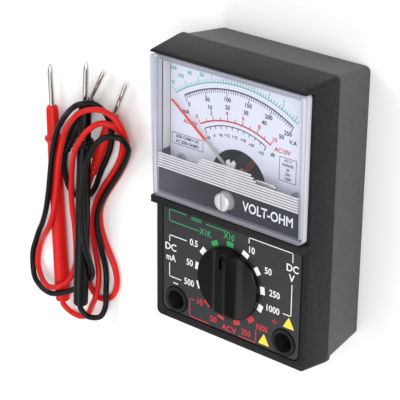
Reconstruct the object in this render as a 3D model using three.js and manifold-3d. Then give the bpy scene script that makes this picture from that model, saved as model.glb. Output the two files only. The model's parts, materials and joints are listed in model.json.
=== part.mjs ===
// A pocket analog multimeter lying on its back, with its two test leads beside it.
// Millimetres. X across the case, Y towards the dial end, Z out of the front; the origin is the
// centre of the flat back that the meter lies on.
import * as THREE from 'three';
import { mergeVertices } from 'three/addons/utils/BufferGeometryUtils.js';
import Module from 'manifold-3d';

const wasm = await Module();
wasm.setup();

// ---- driving dimensions -------------------------------------------------------------------
const CASE_W = 66.2;            // across the flange where the two shells meet
const CASE_L = 100;             // along the flange
const PART_Z = 19.55;           // height of the parting line
const FRONT_Z = 30.5;           // flat front of the case
const HOOD_Z = 34.6;            // front edge of the lip over the window's far end
const LEDGE_Z = 34.0;           // front of the shoulder under the window
const DRAFT = 0.09;             // slope of the front shell's sides
const BACK_W = 61.6;            // the back face
const BACK_L = 95.3;
const WALL = 2;
const GAP = 0.3;                // between pieces that touch

const LEDGE_Y = [-5.7, -3.3];   // the shoulder
const HOOD_Y = 47.4;            // inner face of the lip
const COVER_HALF_W = 31.1;
const COVER_Z = 34.75;          // front of the cover at its lower edge
const COVER_RISE = 0.033;       // its front rises towards the dial end
const COVER_WALL = 1.5;

const PIVOT = new THREE.Vector2(0, 10);          // axis of the meter movement
const DIAL_Z = 27;
const POINTER_R = 34.2;
const POINTER_REST = THREE.MathUtils.degToRad(143.7);

const KNOB = new THREE.Vector2(0, -27);
const KNOB_R = 12.8;
const KNOB_TOP = 35.6;
const POSITIONS = 13;

const JACK_X = 23.1;
const JACK_Y = -41;
const WELL_R = 3.5;
const COLLAR_R = 4.6;

const BOARD_Z = [14, 15.6];
const CASE_SCREW_Y = 44.3;
const BOARD_SCREW = new THREE.Vector2(18.5, -6.5);
const DIAL_SCREW = new THREE.Vector2(24, 10);
const WHEEL = new THREE.Vector2(-25.8, -17);
const WHEEL_R = 8;
const ZERO_SCREW = new THREE.Vector2(0, 3.5);
const PILLAR = new THREE.Vector2(14, 4.6);
const CELL = { y: 33, z: 9.7, r: 7.2, half: 25.2 };

// ---- materials ----------------------------------------------------------------------------
const finish = (color, roughness, metalness = 0) =>
  new THREE.MeshStandardMaterial({ color, roughness, metalness });
const blackAbs = () => finish(0x3a3a3c, 0.62);
const glossBlack = () => finish(0x141415, 0.25);
const brass = () => finish(0xc9a24b, 0.3, 1);
const steel = () => finish(0xb9bcc0, 0.3, 1);
const ink = () => finish(0x2a2a2c, 0.5);

// ---- helpers ------------------------------------------------------------------------------
function rounded(x0, y0, x1, y1, r) {
  const s = new THREE.Shape();
  s.moveTo(x0 + r, y0);
  s.lineTo(x1 - r, y0);
  s.absarc(x1 - r, y0 + r, r, -Math.PI / 2, 0);
  s.lineTo(x1, y1 - r);
  s.absarc(x1 - r, y1 - r, r, 0, Math.PI / 2);
  s.lineTo(x0 + r, y1);
  s.absarc(x0 + r, y1 - r, r, Math.PI / 2, Math.PI);
  s.lineTo(x0, y0 + r);
  s.absarc(x0 + r, y0 + r, r, Math.PI, 1.5 * Math.PI);
  return s;
}

function outline(points) {
  return new THREE.Shape(points.map(([x, y]) => new THREE.Vector2(x, y)));
}

function slab(shape, z0, z1, curveSegments = 4) {
  const g = new THREE.ExtrudeGeometry(shape, { depth: z1 - z0, bevelEnabled: false, curveSegments });
  return g.translate(0, 0, z0);
}

function block(x0, y0, z0, x1, y1, z1) {
  const g = new THREE.BoxGeometry(x1 - x0, y1 - y0, z1 - z0);
  return g.translate((x0 + x1) / 2, (y0 + y1) / 2, (z0 + z1) / 2);
}

// a rod along Z at (x, y)
function post(x, y, r, z0, z1, sides = 20) {
  const g = new THREE.CylinderGeometry(r, r, z1 - z0, sides);
  return g.rotateX(Math.PI / 2).translate(x, y, (z0 + z1) / 2);
}

// a rod along X at (y, z)
function rail(y, z, r, x0, x1, sides = 16) {
  const g = new THREE.CylinderGeometry(r, r, x1 - x0, sides);
  return g.rotateZ(-Math.PI / 2).translate((x0 + x1) / 2, y, z);
}

// a solid of revolution about Z from [radius, z] pairs that start and end on the axis
function turned(profile, sides = 24) {
  const g = new THREE.LatheGeometry(profile.map(([r, z]) => new THREE.Vector2(r, z)), sides);
  return g.rotateX(Math.PI / 2);
}

// narrows a slab towards its far face, as a moulding's draft does
function drafted(shape, z0, z1, scaleX, scaleY) {
  const g = slab(shape, z0, z1);
  const p = g.attributes.position;
  for (let i = 0; i < p.count; i += 1) {
    const t = (p.getZ(i) - z0) / (z1 - z0);
    p.setX(i, p.getX(i) * (1 + (scaleX - 1) * t));
    p.setY(i, p.getY(i) * (1 + (scaleY - 1) * t));
  }
  return g;
}

function tube(points, r, steps, sides) {
  const path = new THREE.CatmullRomCurve3(points.map((p) => new THREE.Vector3(...p)));
  const ring = new THREE.Shape();
  for (let i = 0; i < sides; i += 1) {
    const a = (i + 0.5) * 2 * Math.PI / sides;
    ring[i ? 'lineTo' : 'moveTo'](r * Math.cos(a), r * Math.sin(a));
  }
  return new THREE.ExtrudeGeometry(ring, { steps, bevelEnabled: false, extrudePath: path });
}

function solid(geometry) {
  const g = geometry.clone();
  g.deleteAttribute('normal');
  g.deleteAttribute('uv');
  const m = mergeVertices(g, 1e-4);
  const vertProperties = new Float32Array(m.attributes.position.array);
  const triVerts = new Uint32Array(m.index.array);
  return new wasm.Manifold(new wasm.Mesh({ numProp: 3, vertProperties, triVerts }));
}

function shaped(base, joined, cut) {
  let s = solid(base);
  for (const g of joined) s = s.add(solid(g));
  for (const g of cut) s = s.subtract(solid(g));
  const mesh = s.getMesh();
  const g = new THREE.BufferGeometry();
  g.setAttribute('position', new THREE.BufferAttribute(new Float32Array(mesh.vertProperties), 3));
  g.setIndex(new THREE.BufferAttribute(new Uint32Array(mesh.triVerts), 1));
  return g;
}

const group = new THREE.Group();
function add(name, geometry, material, parent = group) {
  const mesh = new THREE.Mesh(geometry, material);
  mesh.name = name;
  parent.add(mesh);
  return mesh;
}

const halfWidthAt = (z) => CASE_W / 2 - DRAFT * (z - PART_Z);
const halfLengthAt = (z) => CASE_L / 2 - DRAFT * (z - PART_Z);
const bothSides = (make) => [-1, 1].flatMap((side) => make(side));

// ---- case ---------------------------------------------------------------------------------
function frontShell() {
  const z0 = PART_Z + GAP / 2;
  const w = CASE_W / 2;
  const l = CASE_L / 2;
  const taper = [halfWidthAt(HOOD_Z) / w, halfLengthAt(HOOD_Z) / l];
  const outer = drafted(rounded(-w, -l, w, l, 2), z0, HOOD_Z, ...taper);
  const hollow = drafted(
    rounded(-w + WALL, -l + WALL, w - WALL, l - WALL, 1), z0 - 1, FRONT_Z - 2.5, 0.97, 0.98);
  const wells = bothSides((side) => [post(side * JACK_X, JACK_Y, COLLAR_R, PART_Z, FRONT_Z + 0.5, 32)]);
  const postFoot = BOARD_Z[1] + GAP;
  const boardPosts = bothSides((side) => [post(side * BOARD_SCREW.x, BOARD_SCREW.y, 2.4, postFoot, 28.5)]);
  // ribs on the side walls carry the dial plate and the movement's base
  const ribs = bothSides((side) => [
    block(Math.min(side * 20, side * 29.6), 8.5, 11.8, Math.max(side * 20, side * 29.6), 11.5, DIAL_Z - 0.7),
    block(Math.min(side * 20, side * 31.8), 8.5, 20.2, Math.max(side * 20, side * 31.8), 11.5, DIAL_Z - 0.7),
  ]);
  const dialRest = block(-25, 45, 24.6, 25, 48.6, DIAL_Z - 0.7);
  const screwPosts = [
    post(0, -CASE_SCREW_Y, 2.6, z0, 28.5),
    post(0, CASE_SCREW_Y, 2.6, z0, DIAL_Z - 0.7),
    block(-1.5, CASE_SCREW_Y, z0, 1.5, 48.6, DIAL_Z - 0.7),
  ];
  const detentHousing = block(13.4, -29.2, 16.6, 21.6, -24.8, 28.5);
  const inside = [...boardPosts, ...ribs, dialRest, ...screwPosts, detentHousing];
  const shellCuts = [
    hollow,
    block(-40, -60, FRONT_Z, 40, LEDGE_Y[0], 50),
    block(-40, LEDGE_Y[0] - 1, LEDGE_Z, 40, LEDGE_Y[1] + 1, 50),
    block(-40, LEDGE_Y[1], FRONT_Z, 40, HOOD_Y, 50),
    slab(rounded(-29.6, -1.6, 29.6, 46.2, 0.8), 27.5, 31),
  ];
  const recess = slab(rounded(-29.7, -46.4, 29.7, LEDGE_Y[0] - 0.2, 2.8), FRONT_Z - 1, FRONT_Z + 1);
  const wellHoles = bothSides((side) => [
    post(side * JACK_X, JACK_Y, WELL_R, 20.7, 32, 32),
    post(side * JACK_X, JACK_Y, 2.5, 18, 21, 20),
  ]);
  const screwHoles = [
    ...bothSides((side) => [post(side * BOARD_SCREW.x, BOARD_SCREW.y, 1.2, 15, 22, 12)]),
    ...bothSides((side) => [post(0, side * CASE_SCREW_Y, 1.3, 18, 24.4, 12)]),
    ...bothSides((side) => [post(side * DIAL_SCREW.x, DIAL_SCREW.y, 1.1, 22, 27, 12)]),
  ];
  const shaftHole = post(KNOB.x, KNOB.y, 3.4, 27, 32, 24);
  const ballBore = rail(KNOB.y, 18.4, 1.5, 13, 20.8, 12);
  const wheelSlot = block(-36, WHEEL.y - 6.5, 20.9, -30, WHEEL.y + 6.5, 24.1);
  const skin = shaped(outer, [], [...shellCuts, recess]);
  return shaped(skin, [...wells, ...inside], [...wellHoles, ...screwHoles, shaftHole, ballBore, wheelSlot]);
}

function rearShell() {
  const z1 = PART_Z - GAP / 2;
  const flangeZ = z1 - 1.35;
  const w = BACK_W / 2;
  const l = BACK_L / 2;
  const step = 0.5;
  const topW = CASE_W / 2 - step;
  const topL = CASE_L / 2 - step;
  const outer = drafted(rounded(-w, -l, w, l, 2), 0, flangeZ + 0.01, topW / w, topL / l);
  const flange = slab(rounded(-CASE_W / 2, -CASE_L / 2, CASE_W / 2, CASE_L / 2, 2), flangeZ, z1);
  const inner = rounded(-w + WALL, -l + WALL, w - WALL, l - WALL, 1);
  const opens = [(topW - WALL) / (w - WALL), (topL - WALL) / (l - WALL)];
  const hollow = drafted(inner, WALL, z1 + 0.5, ...opens);
  const screwTubes = bothSides((side) => [post(0, side * CASE_SCREW_Y, 3.3, 1, z1 - 0.2)]);
  const cradle = bothSides((side) => [block(side * 14 - 0.6, 25, 1.5, side * 14 + 0.6, 41, 9)]);
  const bores = bothSides((side) => [
    post(0, side * CASE_SCREW_Y, 2.4, -1, 12),
    post(0, side * CASE_SCREW_Y, 1.35, 11, 21, 12),
  ]);
  const cellSpace = rail(CELL.y, CELL.z, CELL.r + GAP, -26, 26, 24);
  const tray = shaped(outer, [flange], [hollow]);
  return shaped(tray, [...screwTubes, ...cradle], [...bores, cellSpace]);
}

function windowCover() {
  const y0 = LEDGE_Y[1] + GAP;
  const y1 = HOOD_Y - GAP;
  const chamfer = 1.1;
  const x = COVER_HALF_W - chamfer;
  const g = new THREE.ExtrudeGeometry(rounded(-x, y0 + chamfer, x, y1 - chamfer, 0.5), {
    depth: COVER_Z - chamfer - (FRONT_Z + GAP),
    bevelSize: chamfer,
    bevelThickness: chamfer,
    bevelSegments: 1,
    curveSegments: 2,
  });
  g.translate(0, 0, FRONT_Z + GAP);
  rise(g, y0);
  const hollow = block(-COVER_HALF_W + COVER_WALL, y0 + COVER_WALL, 20,
    COVER_HALF_W - COVER_WALL, y1 - COVER_WALL, COVER_Z - COVER_WALL);
  rise(hollow, y0);
  const foot = block(-40, -60, 20, 40, 60, FRONT_Z + GAP);
  const screwHole = post(ZERO_SCREW.x, ZERO_SCREW.y, 3.3, 30, 40, 24);
  return shaped(g, [], [foot, hollow, screwHole]);
}

// tilts the front of the cover: it stands a little higher at the dial end
function rise(g, y0) {
  const p = g.attributes.position;
  for (let i = 0; i < p.count; i += 1) {
    if (p.getZ(i) > FRONT_Z + 2) p.setZ(i, p.getZ(i) + COVER_RISE * (p.getY(i) - y0));
  }
}

function maskStrip() {
  const plate = slab(rounded(-29.2, -1.1, 29.2, 7.4, 0.3), 32.55, 32.85, 1);
  return shaped(plate, [], [post(ZERO_SCREW.x, ZERO_SCREW.y, 3.4, 30, 36, 24)]);
}

function panelPlate() {
  const plate = slab(rounded(-29.2, -45.9, 29.2, LEDGE_Y[0] - 0.6, 2.3), FRONT_Z - 0.7, FRONT_Z);
  const holes = bothSides((side) => [post(side * JACK_X, JACK_Y, COLLAR_R + GAP, 29, 32, 32)]);
  return shaped(plate, [], [...holes, post(KNOB.x, KNOB.y, 3.4, 29, 32, 24)]);
}

function caseScrew(side) {
  const g = turned([[0, 10], [2, 10], [2, 11.6], [1, 11.7], [1, 24], [0, 24]], 14);
  return g.translate(0, side * CASE_SCREW_Y, 0);
}

add('front_shell', frontShell(), blackAbs());
add('rear_shell', rearShell(), blackAbs());
add('window_cover', windowCover(), finish(0xe8eef6, 0.05));
add('mask_strip', maskStrip(), ink());
add('panel_plate', panelPlate(), finish(0x464449, 0.5));
add('case_screw_lower', caseScrew(-1), steel());
add('case_screw_upper', caseScrew(1), steel());

// ---- dial and movement --------------------------------------------------------------------
function dialPlate() {
  const plate = slab(rounded(-29.2, 8.6, 29.2, 45.9, 0.4), DIAL_Z - 0.4, DIAL_Z, 1);
  const notch = post(0, 7.5, 11.6, 20, 30, 48);
  const holes = bothSides((side) => [post(side * DIAL_SCREW.x, DIAL_SCREW.y, 1.1, 20, 30, 12)]);
  return shaped(plate, [], [notch, ...holes]);
}

function dialScrew(side) {
  const z = DIAL_Z + GAP;
  const g = turned([[0, 22.4], [0.8, 22.4], [0.8, z], [1.6, z], [1.5, z + 0.8], [0, z + 0.9]], 12);
  return g.translate(side * DIAL_SCREW.x, DIAL_SCREW.y, 0);
}

const COIL = { inner: 7.2, outer: 8.6, z0: 12.6, z1: 24.4, half: 1 };
const YOKE = { r: 12, bore: 9.6, core: 6.2, z0: 14.5, z1: 22.5 };

function movementBase() {
  const plate = slab(rounded(-22, -3, 22, 23, 2), 9.5, 11.5);
  const ring = post(PIVOT.x, PIVOT.y, YOKE.r, 11.4, YOKE.z0 - GAP, 32);
  const pillars = bothSides((side) => [post(side * PILLAR.x, PILLAR.y, 1.6, 11.4, 29.1, 14)]);
  const holes = bothSides((side) => [post(side * PILLAR.x, PILLAR.y, 1.1, 23.5, 30, 10)]);
  const bowl = post(PIVOT.x, PIVOT.y, YOKE.bore, 11.5, 16, 32);
  return shaped(plate, [ring, ...pillars], [...holes, bowl, post(PIVOT.x, PIVOT.y, 1.3, 9, 12, 12)]);
}

function yoke() {
  const { x, y } = PIVOT;
  const ring = shaped(post(x, y, YOKE.r, YOKE.z0, YOKE.z1, 36), [], [post(x, y, YOKE.bore, 10, 30, 36)]);
  const core = post(x, y, YOKE.core, YOKE.z0, YOKE.z1, 28);
  const webs = bothSides((side) => [block(x - 0.8, y + side * 5 - 0.01 + Math.min(0, side * 6), YOKE.z0 + 1.5,
    x + 0.8, y + side * 5 + Math.max(0, side * 6), YOKE.z1 - 1.5)]);
  return shaped(ring, [core, ...webs], []);
}

// the winding is a rectangular loop that stands round the core, its sides square to the pointer
function movingCoil() {
  const { inner, outer, z0, z1, half } = COIL;
  const loop = shaped(block(-half, -outer, z0, half, outer, z1), [], [
    block(-5, -inner, z0 + 1.2, 5, inner, z1 - 1.2)]);
  return loop.rotateZ(POINTER_REST).translate(PIVOT.x, PIVOT.y, 0);
}

function pointer() {
  const z0 = 28.1;
  const z1 = 28.6;
  const needle = slab(outline([[0, -0.55], [POINTER_R, -0.22], [POINTER_R, 0.22], [0, 0.55]]), z0, z1);
  const hub = post(0, 0, 1.5, 27.9, 28.8, 16);
  const arms = [slab(outline([[-4.4, -0.35], [0, -0.35], [0, 0.35], [-4.4, 0.35]]), z0, z1),
    slab(outline([[-0.35, -3.6], [0.35, -3.6], [0.35, 3.6], [-0.35, 3.6]]), z0, z1)];
  const weights = [[-4.4, 0], [0, -3.6], [0, 3.6]].map(([x, y]) => post(x, y, 0.8, z0 - 0.3, z1 + 0.2, 10));
  return shaped(hub, [needle, ...arms, ...weights], []).rotateZ(POINTER_REST).translate(PIVOT.x, PIVOT.y, 0);
}

function hairspring() {
  const turns = 3;
  const steps = 14 * turns;
  const edge = (offset) => Array.from({ length: steps + 1 }, (_, i) => {
    const a = i / steps * turns * 2 * Math.PI;
    const r = 1.3 + 0.75 * i / 14 + offset;
    return [PIVOT.x + r * Math.cos(a), PIVOT.y + r * Math.sin(a)];
  });
  return slab(outline([...edge(0.1), ...edge(-0.1).reverse()]), 25.3, 26.1);
}

function frontBridge() {
  const plate = slab(outline([[-16, 3], [16, 3], [16, 6.4], [4, 6.4], [2.8, 8], [2.4, 12.4],
    [-2.4, 12.4], [-2.8, 8], [-4, 6.4], [-16, 6.4]]), 29.4, 30.2);
  const holes = bothSides((side) => [post(side * PILLAR.x, PILLAR.y, 1.1, 29, 31, 10)]);
  return shaped(plate, [], [...holes, post(PIVOT.x, PIVOT.y, 1.3, 29, 31, 12)]);
}

function bridgeScrew(side) {
  const g = turned([[0, 24], [0.8, 24], [0.8, 30.4], [1.5, 30.5], [1.4, 31.2], [0, 31.3]], 12);
  return g.translate(side * PILLAR.x, PILLAR.y, 0);
}

const LEVER_Z = [30.6, 31.2];
const PIN_R = 0.6;
const PIN_OFFSET = 1;

// the zero lever turns round the front jewel; its fork takes the zero screw's eccentric pin
function zeroLever() {
  const { x, y } = PIVOT;
  const pinY = ZERO_SCREW.y + PIN_OFFSET;
  const prong = PIN_R + GAP;
  const fork = outline([[-0.5, 0], [-1.9, 6.2], [-1, 7], [0, 5.6], [1, 7], [1.9, 6.2], [0.5, 0]]);
  const arm = slab(fork, ...LEVER_Z);
  arm.translate(x, y, 0);
  const tail = block(x - prong - 0.6, pinY - 1.3, LEVER_Z[0], x + prong + 0.6, y - 1, LEVER_Z[1]);
  const slot = block(x - prong, pinY - 2, 30, x + prong, pinY + 1.1, 32);
  return shaped(post(x, y, 2.4, ...LEVER_Z, 20), [arm, tail], [post(x, y, 1.3, 30, 32, 14), slot]);
}

function zeroScrew() {
  const { x, y } = ZERO_SCREW;
  const profile = [[0, 31.5], [4.2, 31.5], [4.2, 32.2], [3, 32.2], [3, 35.3], [2.6, 35.7], [0, 35.8]];
  const head = turned(profile, 28);
  head.translate(x, y, 0);
  const pin = post(x, y + PIN_OFFSET, PIN_R, LEVER_Z[0] - 0.1, 31.6, 10);
  return shaped(head, [pin], [block(x - 0.35, y - 4, 34.9, x + 0.35, y + 4, 37)]);
}

add('dial_plate', dialPlate(), finish(0xd9dfea, 0.45));
add('dial_screw_left', dialScrew(-1), steel());
add('dial_screw_right', dialScrew(1), steel());
add('movement_base', movementBase(), finish(0x232325, 0.6));
add('yoke', yoke(), finish(0x55565a, 0.45, 0.8));
add('moving_coil', movingCoil(), finish(0xb8612c, 0.35, 1));
add('staff_front', post(PIVOT.x, PIVOT.y, 0.5, COIL.z1 + GAP, 27.6, 10), steel());
add('staff_rear', post(PIVOT.x, PIVOT.y, 0.5, 11.8, COIL.z0 - GAP, 10), steel());
add('pointer', pointer(), finish(0xd8342c, 0.5));
add('hairspring', hairspring(), brass());
add('front_bridge', frontBridge(), steel());
add('bridge_screw_left', bridgeScrew(-1), steel());
add('bridge_screw_right', bridgeScrew(1), steel());
add('jewel_front', post(PIVOT.x, PIVOT.y, 1, 29.1, 31.6, 12), brass());
add('jewel_rear', post(PIVOT.x, PIVOT.y, 1, 9.3, 11.5, 12), brass());
add('zero_lever', zeroLever(), finish(0xe6e8ea, 0.4));
add('zero_screw', zeroScrew(), steel());

// ---- selector -----------------------------------------------------------------------------
// a bar grip between two hollowed flanks on a round base; a notch at its dial end marks the range
function knob() {
  const shelf = 32.2;
  const ridge = 2.1;
  const flank = 5.3;
  const base = turned([[0, 30.8], [KNOB_R - 0.3, 30.8], [KNOB_R, 31.2], [KNOB_R, 31.9], [KNOB_R - 0.5, 32.5],
    [9.6, KNOB_TOP], [0, KNOB_TOP]], 48);
  const reach = Math.sqrt(flank ** 2 - (shelf + flank - KNOB_TOP) ** 2);
  const hollows = bothSides((side) => {
    const g = new THREE.CylinderGeometry(flank, flank, 40, 40);
    const axisX = side * (ridge + reach);
    return [
      g.translate(axisX, 0, shelf + flank),
      block(Math.min(axisX, side * 20), -20, shelf, Math.max(axisX, side * 20), 20, 50),
    ];
  });
  const notch = slab(outline([[-0.45, 6.4], [0.45, 6.4], [0.9, 11], [-0.9, 11]]), 34, 40);
  const stem = post(0, 0, 3, 20.4, 31, 20);
  return shaped(base, [stem], [...hollows, notch]).translate(KNOB.x, KNOB.y, 0);
}

function rotor() {
  const rim = new THREE.Shape();
  const steps = POSITIONS * 4;
  for (let i = 0; i < steps; i += 1) {
    const a = i / steps * 2 * Math.PI;
    const r = 13 - (i % 4 === 0 ? 0.5 : 0);
    rim[i ? 'lineTo' : 'moveTo'](r * Math.cos(a), r * Math.sin(a));
  }
  const disc = slab(rim, 17.2, 19.6);
  const sleeve = post(0, 0, 5, 19.5, 27.4, 24);
  return shaped(disc, [sleeve], [post(0, 0, 3.3, 20.1, 30, 20)]).translate(KNOB.x, KNOB.y, 0);
}

// a bowed spring blade that sweeps the board's tracks
function wiper(angle) {
  const arch = outline([[4, 16.5], [7.6, 15.9], [11.2, 16.5], [11.2, 16.9], [7.6, 16.3], [4, 16.9]]);
  const g = slab(arch, -1, 1);
  return g.rotateX(Math.PI / 2).rotateZ(angle).translate(KNOB.x, KNOB.y, 0);
}

function detentSpring() {
  const turns = 5;
  const points = [];
  for (let i = 0; i <= turns * 8; i += 1) {
    const a = i / 8 * 2 * Math.PI;
    points.push([16.4 + 3.9 * i / (turns * 8), KNOB.y + Math.cos(a), 18.4 + Math.sin(a)]);
  }
  return tube(points, 0.18, turns * 8, 4);
}

function adjustWheel() {
  const disc = post(WHEEL.x, WHEEL.y, WHEEL_R, 21.4, 23.6, 36);
  return shaped(disc, [post(WHEEL.x, WHEEL.y, 2.4, 23.5, 24.6, 16)], []);
}

function adjustPot() {
  const g = turned([[0, 15.9], [4.3, 15.9], [4.3, 20], [1.5, 20], [1.5, 21.1], [0, 21.1]], 20);
  return g.translate(WHEEL.x, WHEEL.y, 0);
}

add('knob', knob(), glossBlack());
add('rotor', rotor(), finish(0xdad6c8, 0.5));
add('wiper_inner', wiper(Math.PI / 2), brass());
add('wiper_outer', wiper(-Math.PI / 2), brass());
add('detent_ball', new THREE.SphereGeometry(1.2, 12, 8).translate(14.7, KNOB.y, 18.4), steel());
add('detent_spring', detentSpring(), steel());
add('adjust_wheel', adjustWheel(), blackAbs());
add('adjust_pot', adjustPot(), finish(0x2f5a8a, 0.5));

// ---- circuit and supply -------------------------------------------------------------------
function circuitBoard() {
  const plate = slab(rounded(-28, -46, 28, -3.8, 1), ...BOARD_Z, 1);
  const screwHoles = bothSides((side) => [post(side * BOARD_SCREW.x, BOARD_SCREW.y, 1.2, 13, 17, 12)]);
  return shaped(plate, [], [...screwHoles, block(-4.2, -50, 13, 4.2, -40.4, 17)]);
}

function boardScrew(side) {
  const z = BOARD_Z[0] - GAP;
  const g = turned([[0, z - 1.2], [1.9, z - 1.1], [2, z], [0.85, z], [0.85, 21.4], [0, 21.4]], 12);
  return g.translate(side * BOARD_SCREW.x, BOARD_SCREW.y, 0);
}

function jackSocket(side) {
  const { x, y } = { x: side * JACK_X, y: JACK_Y };
  return shaped(post(x, y, 2.2, BOARD_Z[1] + GAP, 20.4, 20), [], [post(x, y, 1.1, 16.6, 21, 14)]);
}

// an axial part stands off the board on two bent legs
function axialPart(x, y, r, half, reach, alongY) {
  const z = BOARD_Z[0] - GAP - r - 0.6;
  const leg = (end) => post(end * reach, 0, 0.3, z - 0.2, BOARD_Z[0] - GAP, 6);
  const body = rail(0, z, r, -half, half, 12);
  const lead = rail(0, z, 0.3, -reach, reach, 6);
  const g = shaped(body, [lead, leg(-1), leg(1)], []);
  return g.rotateZ(alongY ? Math.PI / 2 : 0).translate(x, y, 0);
}

const FUSE = { y: -13.5, z: 10.4, r: 2.6, half: 10 };
function fuse() {
  return rail(FUSE.y, FUSE.z, FUSE.r, -FUSE.half, FUSE.half, 16);
}

function fuseClip(side) {
  const { y, z } = FUSE;
  const x = side * 7.8;
  const jaw = block(x - 1.6, y - 3.5, z - 1.8, x + 1.6, y + 3.5, BOARD_Z[0] - GAP);
  return shaped(jaw, [], [rail(y, z, FUSE.r + GAP, -20, 20, 20), block(-20, y - 2.2, 5, 20, y + 2.2, z)]);
}

function cell() {
  const { y, z, r, half } = CELL;
  const g = turned([[0, -half], [r - 0.5, -half], [r, -half + 0.5], [r, half - 2], [r - 0.5, half - 1.5],
    [2.7, half - 1.5], [2.7, half], [0, half]], 28);
  return g.rotateY(Math.PI / 2).translate(0, y, z);
}

function cellContact() {
  const x = CELL.half + GAP;
  return block(x, CELL.y - 4.5, CELL.z - 4.5, x + 0.5, CELL.y + 4.5, CELL.z + 4.5);
}

function cellSpring() {
  const turns = 3;
  const points = [];
  for (let i = 0; i <= turns * 10; i += 1) {
    const t = i / (turns * 10);
    const a = i / 10 * 2 * Math.PI;
    const r = 2.2 + 2 * t;
    points.push([-CELL.half - 0.8 - 2.6 * t, CELL.y + r * Math.cos(a), CELL.z + r * Math.sin(a)]);
  }
  return tube(points, 0.35, turns * 10, 5);
}

// from each end of the cell a wire runs along the side wall to the board
function cellWire(side) {
  return tube([[side * 27.6, 26.6, 9], [side * 27.4, 18, 6.4], [side * 26.6, 8, 6], [side * 25.4, -1, 8],
    [side * 24.6, -7, 11], [side * 24.4, -9, 13.2]], 0.6, 12, 6);
}

add('circuit_board', circuitBoard(), finish(0x2e6b3e, 0.5));
add('board_screw_left', boardScrew(-1), steel());
add('board_screw_right', boardScrew(1), steel());
add('jack_socket_negative', jackSocket(-1), brass());
add('jack_socket_positive', jackSocket(1), brass());
[-21, -26, -31].forEach((y, i) => {
  add(`resistor_${i + 1}`, axialPart(-13, y, 1.2, 3.2, 5, false), finish(0x8fb3c9, 0.5));
});
add('shunt', axialPart(14, -28, 2, 6, 8.5, true), finish(0xd8d2c0, 0.7));
add('fuse', fuse(), finish(0xdfe8ea, 0.1));
add('fuse_clip_left', fuseClip(-1), steel());
add('fuse_clip_right', fuseClip(1), steel());
add('cell', cell(), finish(0x2f6fae, 0.35, 0.3));
add('cell_contact', cellContact(), steel());
add('cell_spring', cellSpring(), steel());
add('cell_wire_positive', cellWire(1), finish(0xc4231d, 0.5));
add('cell_wire_negative', cellWire(-1), ink());

// ---- test leads -----------------------------------------------------------------------------
const CORD_R = 1.1;
const CORD_STEPS = 120;
const TABLE = 1.25;             // a cord's centre line where it lies on the table
const PLUG_PIN_R = 0.8;
// where each lead's handle and plug lie: both ends of their centre lines
const LAY = {
  red: {
    probe: { tail: [-106.4, -79.9, 3.2], nose: [-108.9, 0.9, 3.8], guard: 12.5 },
    plug: { face: [-77.5, 5, 3], tail: [-86.3, -14.8, 3] },
  },
  black: {
    probe: { tail: [-91.5, -74.7, 8.4], nose: [-86.5, 8.5, 8.9], guard: 14.2 },
    plug: { face: [-89.6, 7.7, 3], tail: [-99.4, -9.7, 3] },
  },
};
// the centre line of each cord, from its probe's tail to its plug's strain relief
const BLACK_ROUTE = [
  [-91.6, -75.1, 8.4], [-91.68, -76.5, 8.39], [-89.4, -79.7, 7.3], [-84.7, -79.4, 5.2],
  [-82.3, -74.7, 4.3], [-82.6, -69.3, 3.6], [-84.1, -64.4, 1.7], [-85, -59.1, TABLE],
  [-84.9, -53.8, 2.7], [-85, -48.4, 3.9], [-86.1, -43.1, 4], [-86.3, -37.7, 3.8], [-84.5, -32.5, 3.8],
  [-81.9, -27.7, 3.7], [-78.9, -23.1, 3.6], [-75.8, -18.5, 3.6], [-72.8, -14, 3.9], [-69.9, -9.4, 4.8],
  [-67.7, -4.7, 6.5], [-69.1, -0.5, 9], [-74, -0.6, 11.1], [-78.1, -4, 12.4], [-80.7, -8.7, 13.1],
  [-82.5, -13.9, 13.3], [-83.9, -19.2, 13.2], [-84.8, -24.6, 13.1], [-85.4, -30, 13],
  [-85.4, -35.5, 13], [-84.9, -41, 13.1], [-84.3, -46.4, 12.7], [-84.2, -51.7, 11.2], [-85, -56.6, 8.9],
  [-86.9, -61.1, 6.4], [-89.9, -65.2, 4.5], [-93.9, -68.9, 3.6], [-98.3, -72.1, 4.1],
  [-102.7, -74.6, 6.2], [-107.7, -76.1, 7.6], [-112.9, -77, 6.3], [-118, -77.1, 4.4],
  [-122.8, -75.4, 2.5], [-124.9, -70.7, TABLE], [-124.5, -65.2, TABLE], [-122.7, -60.1, TABLE],
  [-120.1, -55.3, 2.1], [-117.1, -50.8, 3.1], [-114.3, -46.3, 4.4], [-111.7, -41.7, 5.8],
  [-109.5, -36.8, 7], [-107.8, -31.6, 7.8], [-106.7, -26.3, 8.1], [-105.9, -20.9, 8.1],
  [-105, -15.4, 7.9], [-103.7, -10.1, 7.9], [-101.5, -5.1, 8.2], [-98.3, -0.8, 9], [-94.5, 3, 10.3],
  [-90.5, 6.3, 12], [-86, 9.3, 12.7], [-81.1, 10.3, 10.6], [-77.8, 7.2, 7.9], [-76.8, 2.1, 6.1],
  [-77.2, -3.2, 4.9], [-78.8, -8.4, 4.2], [-81.2, -13.3, 3.7], [-83.9, -18, 3.3], [-86.5, -22.8, 2.6],
  [-89.2, -27.5, 1.7], [-92.6, -31.7, TABLE], [-97.4, -34.2, TABLE], [-102.3, -32.6, 1.5],
  [-104.1, -27.5, 2.1], [-104.1, -22.1, 2.9], [-103.2, -16.7, 3],
];
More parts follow.
